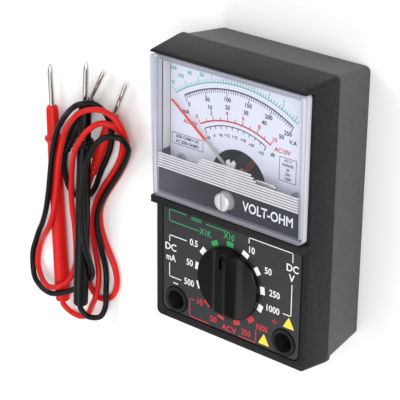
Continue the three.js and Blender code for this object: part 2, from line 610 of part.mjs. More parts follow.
const RED_ROUTE = [
  [-106.4, -80.3, 3.2], [-106.36, -81.7, 3.19], [-103.8, -84.7, 2], [-98.5, -85.5, TABLE],
  [-94.1, -82.4, 1.6], [-91.2, -77.8, 2.7], [-88.3, -73.2, 3.7], [-87.2, -68, 3.1], [-88.2, -62.8, 1.6],
  [-89.4, -57.4, TABLE], [-90.6, -52, TABLE], [-91.3, -46.6, TABLE], [-91.1, -41.1, TABLE],
  [-89.8, -35.7, TABLE], [-87.7, -30.6, TABLE], [-84.9, -25.9, TABLE], [-81.7, -21.4, TABLE],
  [-78.7, -16.8, TABLE], [-76.3, -11.8, TABLE], [-74.5, -6.6, 2.1], [-73, -1.8, 4.2], [-73.1, 2.4, 7.6],
  [-77.1, 3.8, 10.8], [-81, 0.9, 13.2], [-84.1, -3.5, 14.2], [-87.2, -8, 13.7], [-90.2, -12.4, 11.9],
  [-92.9, -16.6, 9.7], [-95.3, -21.1, 7.7], [-97.3, -26, 6], [-98.9, -31.1, 4.7], [-99.9, -36.4, 3.5],
  [-100.5, -41.8, 2.4], [-100.6, -47.2, 1.6], [-100.6, -52.7, TABLE], [-100.5, -58.2, TABLE],
  [-100.7, -63.7, 1.5], [-101.5, -68.7, 3.6], [-104, -71.9, 7.1], [-109, -73.7, 7.6],
  [-114.1, -74.2, 5.6], [-118.8, -72.9, 3.1], [-121.8, -68.9, 1.5], [-121, -63.5, TABLE],
  [-118.4, -58.8, 2.3], [-115, -54.9, 4.3], [-111.5, -51.1, 6.2], [-108.3, -46.8, 7.4],
  [-105.9, -41.9, 8], [-104.4, -36.6, 8.1], [-103.7, -31.1, 7.9], [-103.2, -25.6, 7.6],
  [-102.6, -20.1, 7.4], [-101.6, -14.7, 7.4], [-99.7, -9.6, 7.8], [-97, -4.9, 8.9], [-93.6, -0.8, 10.4],
  [-89.8, 2.8, 12.1], [-85.6, 6.1, 13.1], [-80.8, 8.6, 12.5], [-75.5, 9, 11], [-71.2, 6.4, 9.2],
  [-69.6, 1.6, 7.1], [-70.1, -3.4, 4.8], [-71.6, -8.3, 2.8], [-73.8, -13.2, 1.5], [-76.4, -18, TABLE],
  [-79.4, -22.6, TABLE], [-82.6, -27.2, TABLE], [-85.4, -31.9, TABLE], [-87.2, -37.1, TABLE],
  [-87.1, -42.6, TABLE], [-85.4, -47.8, TABLE], [-82.9, -52.7, TABLE], [-80.3, -57.6, TABLE],
  [-79, -62.9, TABLE], [-79.9, -68.3, TABLE], [-83.3, -72.5, TABLE], [-88.6, -73.8, TABLE],
  [-92.9, -70.6, TABLE], [-94.4, -65.4, TABLE], [-94.8, -59.9, TABLE], [-95.1, -54.4, TABLE],
  [-94.8, -48.9, TABLE], [-94.2, -43.4, 2], [-93.6, -38.1, 3.2], [-92.7, -32.7, 4], [-91.2, -27.4, 3.6],
  [-89.5, -22.2, 3],
];

// a solid of revolution along the line from a to b, drawn as [radius, distance from a] pairs
function spindle(a, b, profile, sides = 16) {
  const start = new THREE.Vector3(...a);
  const along = new THREE.Vector3(...b).sub(start).normalize();
  const turn = new THREE.Quaternion().setFromUnitVectors(new THREE.Vector3(0, 0, 1), along);
  return turned(profile, sides).applyQuaternion(turn).translate(start.x, start.y, start.z);
}

function span(a, b) {
  return new THREE.Vector3(...a).distanceTo(new THREE.Vector3(...b));
}

// a tapered handle, thicker at the cord's end, with a finger guard near its nose
function probeHandle({ tail, nose, guard }) {
  const length = span(tail, nose);
  const front = length - guard;
  const back = front - 1.1;
  return spindle(tail, nose, [[0, 0], [1.5, 0], [1.9, 1.2], [2.9, 9], [2.9, 12], [2.55, back - 1.4],
    [3.5, back], [3.5, front], [2.5, front + 0.8], [2.3, length - 1.6], [1.7, length], [0, length]], 14);
}

function probeTip({ tail, nose }) {
  const length = span(tail, nose) + GAP;
  const point = length + 16;
  return spindle(tail, nose, [[0, length], [1, length], [0.95, point - 2.6], [0.2, point], [0, point]], 10);
}

// the round insulated body of a plug, its straight neck and its ribbed strain relief
function plugBody({ face, tail }) {
  const body = span(face, tail);
  const profile = [[0, 0], [1.5, 0], [1.5, 1.6], [2.4, 2.2], [2.5, body]];
  const ribs = 3;
  for (let i = 0; i < ribs; i += 1) {
    const z = body + 0.5 + i * 2.4;
    const r = 1.9 - i * 0.1;
    profile.push([1.4, z], [r, z + 0.4], [r, z + 1.6]);
  }
  profile.push([1.35, body + 7.6], [0, body + 7.6]);
  return spindle(face, tail, profile, 14);
}

function plugPin({ face, tail }) {
  const out = face.map((v, i) => 2 * v - tail[i]);
  const stem = [[0, GAP], [PLUG_PIN_R, GAP], [PLUG_PIN_R, 13.5], [0.6, 13.8], [0, 13.8]];
  return spindle(face, out, stem, 12);
}

const redPvc = () => finish(0xe8281f, 0.4);
const blackPvc = () => finish(0x18191b, 0.4);
const nickel = () => finish(0xc8c8c4, 0.25, 1);
function lead(name, color, route) {
  const { probe, plug } = LAY[name];
  add(`probe_${name}`, probeHandle(probe), color());
  add(`probe_tip_${name}`, probeTip(probe), nickel());
  add(`plug_${name}`, plugBody(plug), color());
  add(`plug_pin_${name}`, plugPin(plug), nickel());
  add(`cord_${name}`, tube(route, CORD_R, CORD_STEPS, 8), color());
}

lead('red', redPvc, RED_ROUTE);
lead('black', blackPvc, BLACK_ROUTE);


export default group;
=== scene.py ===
import json
import math

import bpy
from mathutils import Matrix, Vector

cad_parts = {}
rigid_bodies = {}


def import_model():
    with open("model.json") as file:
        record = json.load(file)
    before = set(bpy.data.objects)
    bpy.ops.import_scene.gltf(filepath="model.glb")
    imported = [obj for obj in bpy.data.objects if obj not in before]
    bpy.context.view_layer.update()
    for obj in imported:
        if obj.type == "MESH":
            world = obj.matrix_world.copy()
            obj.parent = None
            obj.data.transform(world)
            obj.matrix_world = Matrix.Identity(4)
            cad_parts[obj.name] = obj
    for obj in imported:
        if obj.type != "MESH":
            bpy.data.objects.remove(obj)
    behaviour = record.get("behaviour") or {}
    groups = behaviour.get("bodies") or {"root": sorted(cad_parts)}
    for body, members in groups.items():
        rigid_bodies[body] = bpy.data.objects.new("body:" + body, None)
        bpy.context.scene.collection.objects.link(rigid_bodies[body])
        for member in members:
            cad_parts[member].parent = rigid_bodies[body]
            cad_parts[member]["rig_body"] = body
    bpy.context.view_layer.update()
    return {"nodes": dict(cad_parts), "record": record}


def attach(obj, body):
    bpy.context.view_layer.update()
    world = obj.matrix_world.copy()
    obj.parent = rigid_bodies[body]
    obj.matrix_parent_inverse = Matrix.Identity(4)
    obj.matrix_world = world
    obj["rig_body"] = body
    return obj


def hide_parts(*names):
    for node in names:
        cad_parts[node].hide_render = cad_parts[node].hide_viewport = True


bl_info = {
    "name": "Pocket analog multimeter",
    "version": (1, 0, 0),
    "blender": (4, 5, 0),
    "location": "3D View > Sidebar > Multimeter",
    "description": "Finishes a pocket analog multimeter and its two test leads round their CAD frame",
    "category": "Add Mesh",
}

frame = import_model()

MM = 0.001
EPS = 1e-5  # in metres: closer points are one point
SMALL_EDGE = 0.12 * MM  # radius on the edges of small and thin parts


def mm(*values):
    return tuple(v * MM for v in values)


# ---- colour and nodes ---------------------------------------------------------------------


def linear(text):
    """The linear RGB colour of an sRGB hex value."""
    channels = [int(text[i : i + 2], 16) / 255 for i in (1, 3, 5)]
    return tuple(c / 12.92 if c <= 0.04045 else ((c + 0.055) / 1.055) ** 2.4 for c in channels)


def add_node(tree, kind, inputs=None, **settings):
    """Adds a node. Each input is a plain value or the socket that feeds it."""
    node = tree.nodes.new(kind)
    for key, value in settings.items():
        setattr(node, key, value)
    for key, value in (inputs or {}).items():
        if isinstance(value, bpy.types.NodeSocket):
            tree.links.new(value, node.inputs[key])
        else:
            node.inputs[key].default_value = value
    return node


def coated(name, colour, roughness, sockets=None, grain=None, mottle=0.0):
    """A Principled surface. grain is (size, height) in mm of the texture that the tool left;
    mottle is how far the colour wanders between light and dark, a little coarser than that."""
    made = bpy.data.materials.new(name)
    made.use_nodes = True
    tree = made.node_tree
    shader = tree.nodes["Principled BSDF"]
    shader.inputs["Base Color"].default_value = (*colour, 1)
    shader.inputs["Roughness"].default_value = roughness
    for key, value in (sockets or {}).items():
        shader.inputs[key].default_value = value
    if grain:
        size, height = grain
        place = add_node(tree, "ShaderNodeTexCoord").outputs["Object"]
        noise = add_node(
            tree,
            "ShaderNodeTexNoise",
            {"Vector": place, "Scale": 1 / (size * MM), "Detail": 2.0, "Roughness": 0.6},
        )
        bump = add_node(
            tree,
            "ShaderNodeBump",
            {"Height": noise.outputs["Fac"], "Distance": height * MM, "Strength": 1.0},
        )
        tree.links.new(bump.outputs["Normal"], shader.inputs["Normal"])
        if mottle:
            cloud = add_node(
                tree,
                "ShaderNodeTexNoise",
                {"Vector": place, "Scale": 1 / (1.5 * size * MM), "Detail": 1.0},
            )
            ramp = add_node(tree, "ShaderNodeValToRGB", {"Fac": cloud.outputs["Fac"]})
            ramp.color_ramp.elements[0].position = 0.3
            ramp.color_ramp.elements[1].position = 0.7
            ramp.color_ramp.elements[0].color = (*(c * (1 - mottle) for c in colour), 1)
            ramp.color_ramp.elements[1].color = (*(c * (1 + mottle) for c in colour), 1)
            tree.links.new(ramp.outputs["Color"], shader.inputs["Base Color"])
    return made


METAL = {"Metallic": 1.0}


def spark_eroded_abs(colours):
    """Black ABS from a spark-eroded mould: a matt, pitted skin that looks grey in light. The real
    pits are too fine to show, so the grain is drawn coarser."""
    matt = {"Specular IOR Level": 0.2}
    return coated("spark_eroded_abs", colours.case, 0.5, matt, grain=(0.7, 0.09), mottle=0.45)


def greyer_abs(colours):
    """The rear shell's ABS: the same mould skin, its grey painted lighter than the front shell's to
    stand for the floor's bounce light on it.
    """
    return coated("greyer_abs", colours.rear, 0.55, grain=(0.7, 0.08), mottle=0.2)


def panel_enamel(colours):
    """Sheet sprayed in satin near-black: an even, faintly pebbled ground for the print."""
    return coated("panel_enamel", colours.panel, 0.45, grain=(0.6, 0.03), mottle=0.25)


def polished_abs(colours):
    """Black ABS from a polished mould: sharp reflections."""
    return coated("polished_abs", colours.knob, 0.22, {"Specular IOR Level": 0.22})


WALL_Z = (27, 35)  # in mm, from the dial plate to the cover's front
PANE_HAZE = (0.85, 0.022)  # how milky the pane is: what its slant adds, and what shows face-on
WALL_HAZE = 0.62  # how much more a wall hides
# painted light and shade on the window's walls, from the dial up: share of their height and colour.
# The white bands are painted light that the edge-on walls gather; the lavender-grey bands are painted
# shade of the walls, seen refracted
WALL_PAINTED_LIGHT_BANDS = ((0.12, "#f4f4fa"), (0.2, "#9c9eae"), (0.42, "#a9abba"), (0.5, "#ffffff"),
              (0.68, "#fbfbff"), (0.76, "#b4b7cb"))


def clear_styrene(colours):
    """Clear moulded polystyrene. Its front is a thin pane; its walls stand edge-on to the light and
    gather it, and their colour is painted by height in bands: white for painted light, lavender-grey
    for painted shade."""
    made = bpy.data.materials.new("clear_styrene")
    made.use_nodes = True
    tree = made.node_tree
    shader = tree.nodes["Principled BSDF"]
    shader.inputs["Base Color"].default_value = (*colours.window, 1)
    shader.inputs["Roughness"].default_value = 0.06
    shader.inputs["IOR"].default_value = 1.59
    slant = add_node(tree, "ShaderNodeLayerWeight", {"Blend": 0.5}).outputs["Facing"]
    steep = add_node(tree, "ShaderNodeMath", {0: slant, 1: 4.0}, operation="POWER")
    pane = add_node(
        tree,
        "ShaderNodeMath",
        {0: steep.outputs[0], 1: PANE_HAZE[0], 2: PANE_HAZE[1]},
        operation="MULTIPLY_ADD",
    )
    place = add_node(tree, "ShaderNodeTexCoord")
    normal = add_node(tree, "ShaderNodeSeparateXYZ", {"Vector": place.outputs["Normal"]})
    flat = add_node(tree, "ShaderNodeMath", {0: normal.outputs["Z"]}, operation="ABSOLUTE")
    wall = add_node(
        tree,
        "ShaderNodeMapRange",
        {
            "Value": flat.outputs[0],
            "From Min": 0.3,
            "From Max": 0.7,
            "To Min": WALL_HAZE,
            "To Max": 0.0,
        },
    )
    haze = add_node(
        tree,
        "ShaderNodeMath",
        {0: pane.outputs[0], 1: wall.outputs[0]},
        operation="ADD",
        use_clamp=True,
    )
    height = add_node(tree, "ShaderNodeSeparateXYZ", {"Vector": place.outputs["Object"]})
    level = add_node(
        tree,
        "ShaderNodeMapRange",
        {"Value": height.outputs["Z"], "From Min": WALL_Z[0] * MM, "From Max": WALL_Z[1] * MM},
    )
    # painted light and shade: the walls' colour runs through white and lavender-grey bands by height,
    # from the dial up to the cover's front
    bands = add_node(tree, "ShaderNodeValToRGB", {"Fac": level.outputs[0]})
    stops = bands.color_ramp.elements
    stops[0].position, stops[0].color = 0.0, (0.95, 0.95, 1, 1)
    stops[1].position, stops[1].color = 1.0, (*colours.window, 1)
    for position, colour in WALL_PAINTED_LIGHT_BANDS:
        stop = stops.new(position)
        stop.color = (*linear(colour), 1)
    tree.links.new(bands.outputs["Color"], shader.inputs["Base Color"])
    through = add_node(tree, "ShaderNodeBsdfTransparent", {"Color": (0.97, 0.975, 1.0, 1)})
    mix = add_node(
        tree,
        "ShaderNodeMixShader",
        {0: haze.outputs[0], 1: through.outputs[0], 2: shader.outputs[0]},
    )
    tree.links.new(mix.outputs[0], tree.nodes["Material Output"].inputs["Surface"])
    return made


def frosted_styrene(colours):
    """The same styrene where the mould is ribbed: milky white."""
    return coated("frosted_styrene", colours.ribs, 0.25, {"Alpha": 0.9, "IOR": 1.59})


def dial_enamel(colours):
    """White stoving enamel on sheet metal: smooth, cool white."""
    return coated("dial_enamel", colours.dial, 0.35, grain=(1.2, 0.004))


def printed_ink(name, colour):
    """Screen-printed ink: dense and flat, a touch rougher than its ground."""
    return coated(name, colour, 0.5, {"Specular IOR Level": 0.35})


def moulded_pvc(name, colour):
    """Soft PVC over copper strands: satin and faintly uneven."""
    return coated(name, colour, 0.38, {"Specular IOR Level": 0.2}, grain=(1.6, 0.03))


def moulded_handle(name, colour):
    """Hard PVC handle from a polished mould: glossy."""
    return coated(name, colour, 0.32, {"Specular IOR Level": 0.2}, grain=(2.2, 0.025))


def nickel_plate():
    """Nickel plated brass: bright, with a slight unevenness that blurs its reflections."""
    return coated("nickel_plate", linear("#c9c6c0"), 0.22, METAL, grain=(0.25, 0.01))


NEEDLE_RED = "#e8402c"
PIVOT = (0, 10, 28)  # the needle's pivot in mm
BARE_REACH = 16  # how far out of its pivot the needle is bare, in mm


def lacquered_needle():
    """Aluminium needle, lacquered red toward its tip and bare round its pivot."""
    made = coated("lacquered_needle", linear(NEEDLE_RED), 0.4)
    tree = made.node_tree
    shader = tree.nodes["Principled BSDF"]
    place = add_node(tree, "ShaderNodeTexCoord").outputs["Object"]
    centred = add_node(
        tree,
        "ShaderNodeMapping",
        {"Vector": place, "Location": mm(*(-v for v in PIVOT))},
    )
    reach = add_node(
        tree, "ShaderNodeVectorMath", {0: centred.outputs[0]}, operation="LENGTH"
    )
    red = add_node(
        tree,
        "ShaderNodeMath",
        {0: reach.outputs["Value"], 1: BARE_REACH * MM},
        operation="GREATER_THAN",
    )
    mix = add_node(
        tree,
        "ShaderNodeMix",
        {"Factor": red.outputs[0], "A": (*linear("#b9b4ad"), 1), "B": (*linear(NEEDLE_RED), 1)},
        data_type="RGBA",
    )
    tree.links.new(mix.outputs["Result"], shader.inputs["Base Color"])
    return made


# how the hidden and small parts are finished, by the record's slot:
# material, colour, roughness, shader values, grain in mm
PLAIN_FINISHES = {
    "steel": ("zinc_plated_steel", "#b8babd", 0.3, METAL, (0.6, 0.01)),
    "iron": ("soft_iron", "#3d3a38", 0.45, {"Metallic": 0.7}, (0.8, 0.03)),
    "copper": ("enamelled_copper_winding", "#9a5a3c", 0.3, {"Metallic": 0.85}, (0.3, 0.06)),
    "brass": ("turned_brass", "#c29a4c", 0.28, METAL, (0.5, 0.008)),
    "white_plastic": ("moulded_nylon", "#dedcd6", 0.45, {}, (0.9, 0.01)),
    "base_plastic": ("phenolic_moulding", "#17171a", 0.5, {}, (0.7, 0.02)),
    "rotor_plastic": ("moulded_acetal", "#d3ccbc", 0.4, {}, (0.9, 0.01)),
    "board": ("solder_masked_laminate", "#20603a", 0.35, {}, (1.5, 0.02)),
    "pot_blue": ("blue_moulding", "#1f4c86", 0.4, {}, (0.8, 0.01)),
    "resistor": ("lacquered_resistor", "#8fb5c9", 0.3, {}, (0.9, 0.03)),
    "ceramic": ("glazed_ceramic", "#d8d2c0", 0.6, {}, (0.4, 0.03)),
    "fuse_glass": ("drawn_glass", "#d5dddd", 0.08, {"Alpha": 0.45}, None),
    "cell_wrap": ("printed_steel_jacket", "#2c66a6", 0.32, {"Metallic": 0.4}, (2.0, 0.01)),
    "wire_red": ("red_wire_pvc", "#c4231d", 0.4, {}, (0.8, 0.01)),
    "wire_black": ("black_wire_pvc", "#1c1c1e", 0.4, {}, (0.8, 0.01)),
    "mask": ("black_film", "#101010", 0.5, {"Specular IOR Level": 0.2}, None),
}


# ---- sizes and colours that a user would change -------------------------------------------


def tint(label, about, text):
    return bpy.props.FloatVectorProperty(
        name=label, description=about, subtype="COLOR", size=3, min=0, max=1, default=linear(text)
    )


def size_of(label, about, value_mm):
    return bpy.props.FloatProperty(
        name=label, description=about, unit="LENGTH", min=0, default=value_mm * MM
    )


class MultimeterColours(bpy.types.PropertyGroup):
    case: tint("Case", "Moulded front shell", "#19191b")
    # painted light: the rear shell's grey is lighter than the case's to stand for the floor's bounce
    # light on it
    rear: tint("Rear", "Moulded rear shell", "#434448")
    panel: tint("Panel", "Ground of the range panel", "#222225")
    knob: tint("Knob", "Range knob", "#060606")
    window: tint("Window", "Cast of the clear cover", "#e4e5ee")
    ribs: tint("Ribs", "Milky ribbed strip of the cover", "#e6e4df")
    dial: tint("Dial", "Ground of the scale plate", "#dcdfe6")
    ink_black: tint("Black ink", "Main scale", "#26262b")
    ink_teal: tint("Teal ink", "Ohm scale", "#3fae8f")
    ink_red: tint("Red ink", "Alternating volts", "#c9313b")
    ink_white: tint("White ink", "Panel figures", "#e9e9e9")
    ink_green: tint("Green ink", "Ohm ranges", "#279a5a")
    ink_yellow: tint("Yellow ink", "Triangles by the jack", "#ead64a")
    lead_red: tint("Red lead", "Positive lead", "#d01c1a")
    lead_black: tint("Black lead", "Negative lead", "#060708")
    floor: tint("Floor", "Table under the meter", "#fbfbfb")


class MultimeterSizes(bpy.types.PropertyGroup):
    case_edge: size_of("Case edge", "Radius on the shells' edges", 0.45)
    window_edge: size_of("Window edge", "Radius on the cover's edges", 0.35)
    knob_edge: size_of("Knob edge", "Radius on the knob's edges", 0.3)
    cord_diameter: size_of("Cord", "Diameter of each lead's cord", 2.2)
    black_cord: size_of("Black cord length", "Along its centre line", 395)
    red_cord: size_of("Red cord length", "Along its centre line", 480)
    print_gap: size_of("Ink height", "How far the print stands off its ground", 0.03)


def colours():
    return bpy.context.scene.multimeter_colours


def sizes():
    return bpy.context.scene.multimeter_sizes


# ---- modelling helpers --------------------------------------------------------------------


def deselect():
    if bpy.context.mode != "OBJECT":
        bpy.ops.object.mode_set(mode="OBJECT")
    bpy.ops.object.select_all(action="DESELECT")


def only(piece):
    deselect()
    piece.select_set(True)
    bpy.context.view_layer.objects.active = piece


def settle(piece):
    """Puts a piece's place, turn and size into its mesh."""
    only(piece)
    bpy.ops.object.transform_apply(location=True, rotation=True, scale=True)


def joined(name, parts):
    deselect()
    for part in parts:
        part.select_set(True)
    bpy.context.view_layer.objects.active = parts[0]
    if len(parts) > 1:
        bpy.ops.object.join()
    piece = bpy.context.view_layer.objects.active
    piece.name = name
    piece.data.name = name
    return piece


def finished(piece, body, material, smooth=None):
    """Dresses a piece and lets it ride on a body."""
    piece.data.materials.clear()
    piece.data.materials.append(material)
    if smooth:
        only(piece)
        bpy.ops.object.shade_smooth_by_angle(angle=math.radians(smooth))
    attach(piece, body)
    return piece


def softened(node, radius, material, segments=2, smooth=30):
    """A merged copy of a CAD node with its edges rounded, which stands for the node."""
    source = frame["nodes"][node]
    piece = bpy.data.objects.new(node + "_finished", source.data.copy())
    bpy.context.scene.collection.objects.link(piece)
    only(piece)
    bpy.ops.object.mode_set(mode="EDIT")
    bpy.ops.mesh.select_all(action="SELECT")
    bpy.ops.mesh.remove_doubles(threshold=EPS)
    bpy.ops.mesh.dissolve_limited(angle_limit=math.radians(0.6))
    bpy.ops.mesh.normals_make_consistent(inside=False)
    bpy.ops.object.mode_set(mode="OBJECT")
    if radius:
        bevel = piece.modifiers.new("edge", "BEVEL")
        bevel.width = radius
        bevel.segments = segments
        bevel.limit_method = "ANGLE"
        bevel.angle_limit = math.radians(34)
        bevel.use_clamp_overlap = True
        bpy.ops.object.modifier_apply(modifier=bevel.name)
    finished(piece, source["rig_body"], material, smooth)
    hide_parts(node)
    return piece


def lathed(name, profile, tail, nose, sides=40):
    """A solid of revolution drawn as (radius, distance from tail) pairs in mm along tail to nose."""
    deselect()
    radius, start = profile[0]
    bpy.ops.mesh.primitive_circle_add(
        vertices=sides, radius=radius * MM, fill_type="NGON", location=(0, 0, start * MM)
    )
    piece = bpy.context.active_object
    bpy.ops.object.transform_apply(location=True)
    bpy.ops.object.mode_set(mode="EDIT")
    bpy.ops.mesh.select_all(action="SELECT")
    for (r0, z0), (r1, z1) in zip(profile, profile[1:]):
        bpy.ops.mesh.extrude_region_move(
            TRANSFORM_OT_translate={"value": (0, 0, (z1 - z0) * MM)}
        )
        bpy.ops.transform.resize(value=(r1 / r0, r1 / r0, 1), center_override=(0, 0, z1 * MM))
    bpy.ops.mesh.select_all(action="SELECT")
    bpy.ops.mesh.remove_doubles(threshold=EPS)
    bpy.ops.mesh.normals_make_consistent(inside=False)
    bpy.ops.object.mode_set(mode="OBJECT")
    piece.rotation_mode = "QUATERNION"
    along = Vector(nose) - Vector(tail)
    piece.rotation_quaternion = along.to_track_quat("Z", "Y")
    piece.location = Vector(tail) * MM
    settle(piece)
    piece.name = name
    return piece


# ---- print --------------------------------------------------------------------------------

HEAVY = 0.03  # how much a figure is thickened, as a share of its size
CAPITAL = 0.70  # height of a capital in the built-in font, as a share of its size


class Print:
    """Collects the strokes and figures of one ink on one flat face."""

    def __init__(self, height_mm):
        self.height = height_mm * MM + sizes().print_gap
        self.parts = []

    def bar(self, x, y, length, width, turn=0.0):
        """A filled bar centred on x, y, its length turned from X by turn degrees."""
        deselect()
        bpy.ops.mesh.primitive_plane_add(
            size=1,
            location=(x * MM, y * MM, self.height),
            rotation=(0, 0, math.radians(turn)),
        )
        piece = bpy.context.active_object
        piece.scale = (length * MM, width * MM, 1)
        settle(piece)
        self.parts.append(piece)

    def line(self, points, width):
        """A bent line through points, with square corners."""
        for (x0, y0), (x1, y1) in zip(points, points[1:]):
            length = math.hypot(x1 - x0, y1 - y0) + width
            turn = math.degrees(math.atan2(y1 - y0, x1 - x0))
            self.bar((x0 + x1) / 2, (y0 + y1) / 2, length, width, turn)

    def arc(self, centre, radius, width, start, end, steps=48):
        """A band round centre from start to end, in degrees anticlockwise from X."""
        deselect()
        step = math.radians(end - start) / steps
        bpy.ops.mesh.primitive_plane_add(size=1, location=(0, 0, 0))
        piece = bpy.context.active_object
        piece.scale = (width * MM, EPS, 1)
        piece.location = (radius * MM, 0, 0)
        settle(piece)
        bpy.ops.object.mode_set(mode="EDIT")
        bpy.ops.mesh.select_mode(type="EDGE")
        bpy.ops.mesh.select_all(action="DESELECT")
        bpy.ops.object.mode_set(mode="OBJECT")
        for edge in piece.data.edges:
            ends = [piece.data.vertices[i].co for i in edge.vertices]
            edge.select = all(p.y > 0 for p in ends)
        bpy.ops.object.mode_set(mode="EDIT")
        for _ in range(steps):
            bpy.ops.mesh.extrude_region_move()
            bpy.ops.transform.rotate(
                value=-step, orient_axis="Z", center_override=(0, 0, 0)
            )
        bpy.ops.object.mode_set(mode="OBJECT")
        piece.rotation_euler = (0, 0, math.radians(start))
        piece.location = (centre[0] * MM, centre[1] * MM, self.height)
        settle(piece)
        self.parts.append(piece)

    def ticks(self, centre, radius, start, end, count, width, length_at):
        """Radial ticks from radius outwards, or inwards where the length is negative."""
        for i in range(count + 1):
            angle = start + (end - start) * i / count
            length = length_at(i)
            middle = radius + length / 2
            x = centre[0] + middle * math.cos(math.radians(angle))
            y = centre[1] + middle * math.sin(math.radians(angle))
            self.bar(x, y, abs(length), width, angle)

    def words(self, text, x, y, height, stretch=1.0, heavy=HEAVY):
        """Figures centred on x, y. height is that of a capital, in mm."""
        deselect()
        bpy.ops.object.text_add(location=(0, 0, 0))
        piece = bpy.context.active_object
        piece.data.body = text
        piece.data.align_x = "CENTER"
        piece.data.align_y = "CENTER"
        piece.data.resolution_u = 3
        piece.data.offset = heavy
        only(piece)
        bpy.ops.object.convert(target="MESH")
        piece = bpy.context.active_object
        size = height * MM / CAPITAL
        piece.scale = (size * stretch, size, 1)
        piece.location = (x * MM, y * MM, self.height)
        settle(piece)
        self.parts.append(piece)

    def along(self, labels, centre, radius, start, end, height):
        """Upright labels spaced evenly round an arc."""
        for i, text in enumerate(labels):
            angle = start + (end - start) * i / (len(labels) - 1)
            x = centre[0] + radius * math.cos(math.radians(angle))
            y = centre[1] + radius * math.sin(math.radians(angle))
            self.words(text, x, y, height)

    def done(self, name, material, body):
        piece = joined(name, self.parts)
        return finished(piece, body, material)


# ---- pieces -------------------------------------------------------------------------------


class CaseShells(bpy.types.Operator):
    """Round the edges of both moulded shells and texture them"""

    bl_idname = "multimeter.case"
    bl_label = "Case shells"

    def execute(self, context):
        skin = spark_eroded_abs(colours())
        softened("front_shell", sizes().case_edge, skin)
        # the rear shell takes the same ABS in a grey painted lighter for the floor's bounce light
        softened("rear_shell", sizes().case_edge, greyer_abs(colours()))
        softened("adjust_wheel", SMALL_EDGE, skin)
        return {"FINISHED"}


class Window(bpy.types.Operator):
    """Build the clear cover, its milky ribs, the milky strips beside the dial that are a painted
    highlight, and the movement's foot
    """

    bl_idname = "multimeter.window"
    bl_label = "Window"

    # in mm: the ribbed strip crosses the cover's foot and rises over the movement
    RIB_PITCH = 0.92
    RIB_R = 0.34
    STRIP_Y = (7.9, 12.5)
    STRIP_HALF = 29.2
    HUMP_TOP = 15.3
    HUMP_HALF = (13.0, 10.0)
    RIB_Z = 33.2
    # painted highlight: milky strips beside the dial, in the gaps up to the cover's walls, that stand
    # for the light those gaps catch
    GAP_GLINT_X = (29.25, 29.55)
    GAP_GLINT_Y = (12.9, 46.5)
    GAP_GLINT_Z = (27.1, 30.4)
    # the strip at the movement's foot: its middle and its size
    BRACKET_AT = (15.2, 12.6, 32.2)
    BRACKET = (8.4, 2.6, 0.6)

    def execute(self, context):
        softened("window_cover", sizes().window_edge, clear_styrene(colours()), 3)
        parts = []
        y = self.STRIP_Y[0]
        while y < self.HUMP_TOP:
            half = self.STRIP_HALF
            if y > self.STRIP_Y[1]:
                rise = (y - self.STRIP_Y[1]) / (self.HUMP_TOP - self.STRIP_Y[1])
                half = self.HUMP_HALF[0] + (self.HUMP_HALF[1] - self.HUMP_HALF[0]) * rise
            deselect()
            bpy.ops.mesh.primitive_cylinder_add(
                vertices=14,
                radius=self.RIB_R * MM,
                depth=2 * half * MM,
                location=mm(0, y, self.RIB_Z),
                rotation=(0, math.pi / 2, 0),
            )
            rib = bpy.context.active_object
            settle(rib)
            parts.append(rib)
            y += self.RIB_PITCH
        # the painted-highlight strips beside the dial are joined in with the ribs
        parts += [self.gap_glint_strip(side) for side in (-1, 1)]
        ribs = joined("window_ribs", parts)
        finished(ribs, "case", frosted_styrene(colours()), 50)
        bracket = self.bracket()
        finished(bracket, "case", nickel_plate(), 40)
        return {"FINISHED"}

    def gap_glint_strip(self, side):
        """One milky strip beside the dial: a painted highlight for the light caught in the gap by the
        cover's wall.
        """
        bottom, top = self.GAP_GLINT_Y
        near, far = self.GAP_GLINT_X
        low, high = self.GAP_GLINT_Z
        middle = (side * (near + far) / 2, (bottom + top) / 2, (low + high) / 2)
        return self.bar(middle, (far - near, top - bottom, high - low), 0.08, 2)

    def bracket(self):
        """The bright strip at the foot of the movement, seen through the ribs."""
        bracket = self.bar(self.BRACKET_AT, self.BRACKET, 0.24, 3)
        bracket.name = "movement_foot"
        return bracket

    def bar(self, middle, size, edge, segments):
        """A bar with rounded edges, all in mm."""
        deselect()
        bpy.ops.mesh.primitive_cube_add(size=1, location=mm(*middle), scale=mm(*size))
        piece = bpy.context.active_object
        settle(piece)
        bpy.ops.object.mode_set(mode="EDIT")
        bpy.ops.mesh.select_all(action="SELECT")
        bpy.ops.mesh.bevel(offset=edge * MM, segments=segments, affect="EDGES")
        bpy.ops.object.mode_set(mode="OBJECT")
        return piece


